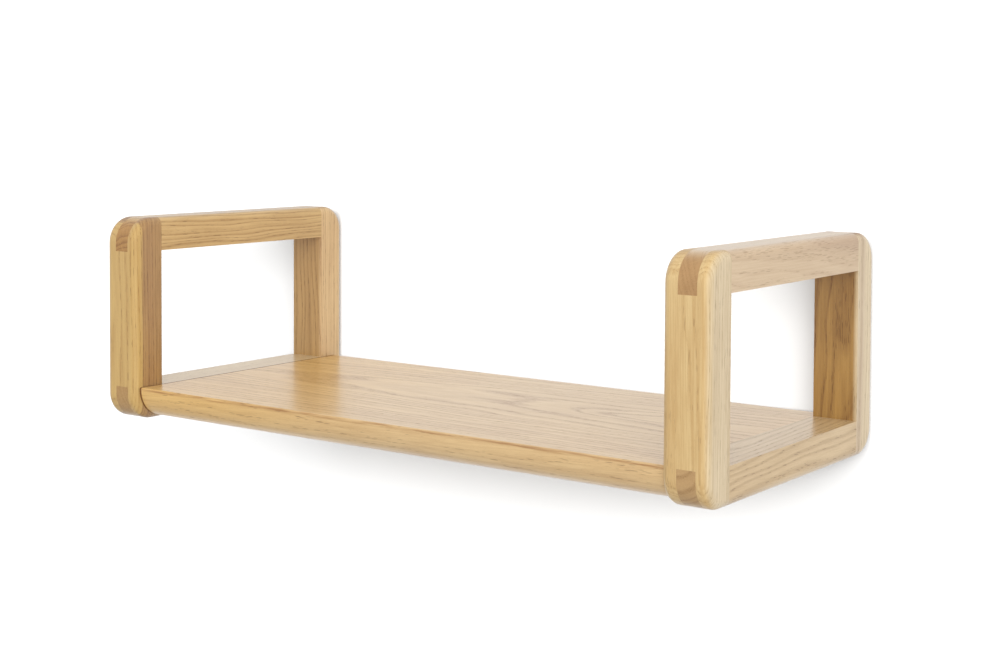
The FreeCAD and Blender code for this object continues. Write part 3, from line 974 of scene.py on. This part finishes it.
low, high = (Vector(c) for c in cad_box)
back = high.y + WALL_GAP
ground = low.z - FLOOR_DROP
wide, deep = ROOM_HALF_WIDTH, FLOOR_HALF_DEPTH
wall = plane("wall", [(-wide, back, ground), (wide, back, ground),
                      (wide, back, WALL_TOP), (-wide, back, WALL_TOP)],
             paint_material("wall_paint", WALL_GREY, one_sided=True))
wall.visible_shadow = False
wall.visible_diffuse = False
plane("floor", [(-wide, -deep, ground), (wide, -deep, ground),
                (wide, deep, ground), (-wide, deep, ground)],
      paint_material("floor_paint", FLOOR_GREY, one_sided=False))
print("wall at y =", round(back, 4), "and floor at z =", round(ground, 3))

# %% [markdown]
# ## Light
#
# A white room lights the wood from all round, and reflections show it at full white. A wide
# softbox to the right of the viewer and a little higher adds the rest, which sets the faces apart
# from each other. The wall's own lamp is very wide and stands a little above the shelf, so that the
# board's shadow falls below it and fades towards both ends. Neither lamp shows in reflections: a
# satin board, seen low from behind, would otherwise mirror the softbox and burn out.


# %% The world
ROOM_LIGHT = 0.88


def set_world(strength):
    """A white room: the viewer and reflections see it at full white, strength lights the wood."""
    world = bpy.data.worlds.new("room")
    bpy.context.scene.world = world
    world.use_nodes = True
    tree = world.node_tree
    path = add(tree, "ShaderNodeLightPath").outputs
    shown = maths(tree, "MAXIMUM", path["Is Camera Ray"], path["Is Glossy Ray"])
    shown = maths(tree, "MAXIMUM", shown, path["Is Transmission Ray"])
    tree.links.new(maths(tree, "MULTIPLY_ADD", shown, 1.0 - strength, strength),
                   tree.nodes["Background"].inputs["Strength"])
    tree.nodes["Background"].inputs["Color"].default_value = (1, 1, 1, 1)


set_world(ROOM_LIGHT)
print("world:", bpy.context.scene.world.name)

# %% Two lamps
SHELF_MIDDLE = (low + high) / 2


def light_group(name, state):
    """A collection that makes a lamp light only the wall, or everything but the wall."""
    group = bpy.data.collections.new(name)
    group.objects.link(wall)
    group.collection_objects[0].light_linking.link_state = state
    return group


def softbox(name, azimuth, elevation, distance, spread, power, receivers):
    """A wide lamp that faces the shelf. Azimuth is to the right of straight in front; angles are in
    degrees, and spread is how much of the view from the shelf the lamp fills, across and up."""
    data = bpy.data.lights.new(name, "AREA")
    data.shape = "RECTANGLE"
    data.size, data.size_y = (2 * distance * math.tan(math.radians(angle / 2)) for angle in spread)
    data.energy = power
    around, up = math.radians(azimuth), math.radians(elevation)
    direction = Vector((math.sin(around) * math.cos(up), -math.cos(around) * math.cos(up),
                        math.sin(up)))
    lamp = bpy.data.objects.new(name, data)
    lamp.location = SHELF_MIDDLE + distance * direction
    lamp.rotation_euler = direction.to_track_quat("Z", "Y").to_euler()
    lamp.light_linking.receiver_collection = receivers
    lamp.visible_glossy = False
    bpy.context.scene.collection.objects.link(lamp)
    print(name, "is", round(data.size, 2), "by", round(data.size_y, 2), "metres")


softbox("key", azimuth=40, elevation=18, distance=5, spread=(40, 50), power=140,
        receivers=light_group("all_but_the_wall", "EXCLUDE"))
softbox("wall_lamp", azimuth=28, elevation=14.5, distance=8, spread=(76, 24), power=3500,
        receivers=light_group("the_wall", "INCLUDE"))

# %% [markdown]
# ## Camera
#
# The viewer stands to the right of the shelf and a little above its top, and looks left along it.
# The camera is held almost level, so that upright edges stay upright, and the frame is shifted down
# to bring the shelf to its middle.

# %% The camera
IMAGE_WIDTH = 990
SENSOR_WIDTH = 36.0
FOCAL_PIXELS = 1654.0
EYE = Vector((0.97054, -1.44395, 0.16831))
TURN_LEFT = 0.63225
LOOK_DOWN = 0.03851
ROLL = 0.00475
PIXELS_SHIFTED = 150.2


def make_camera():
    data = bpy.data.cameras.new("viewer")
    data.sensor_width = SENSOR_WIDTH
    data.lens = FOCAL_PIXELS / IMAGE_WIDTH * SENSOR_WIDTH
    data.shift_y = -PIXELS_SHIFTED / IMAGE_WIDTH
    camera = bpy.data.objects.new("viewer", data)
    turn = (Matrix.Rotation(TURN_LEFT, 4, "Z") @ Matrix.Rotation(math.pi / 2 - LOOK_DOWN, 4, "X")
            @ Matrix.Rotation(ROLL, 4, "Z"))
    camera.matrix_world = Matrix.Translation(EYE) @ turn
    bpy.context.scene.collection.objects.link(camera)
    bpy.context.scene.camera = camera
    print("focal length:", round(data.lens, 1), "mm")


make_camera()
bpy.context.scene.view_settings.view_transform = "Standard"
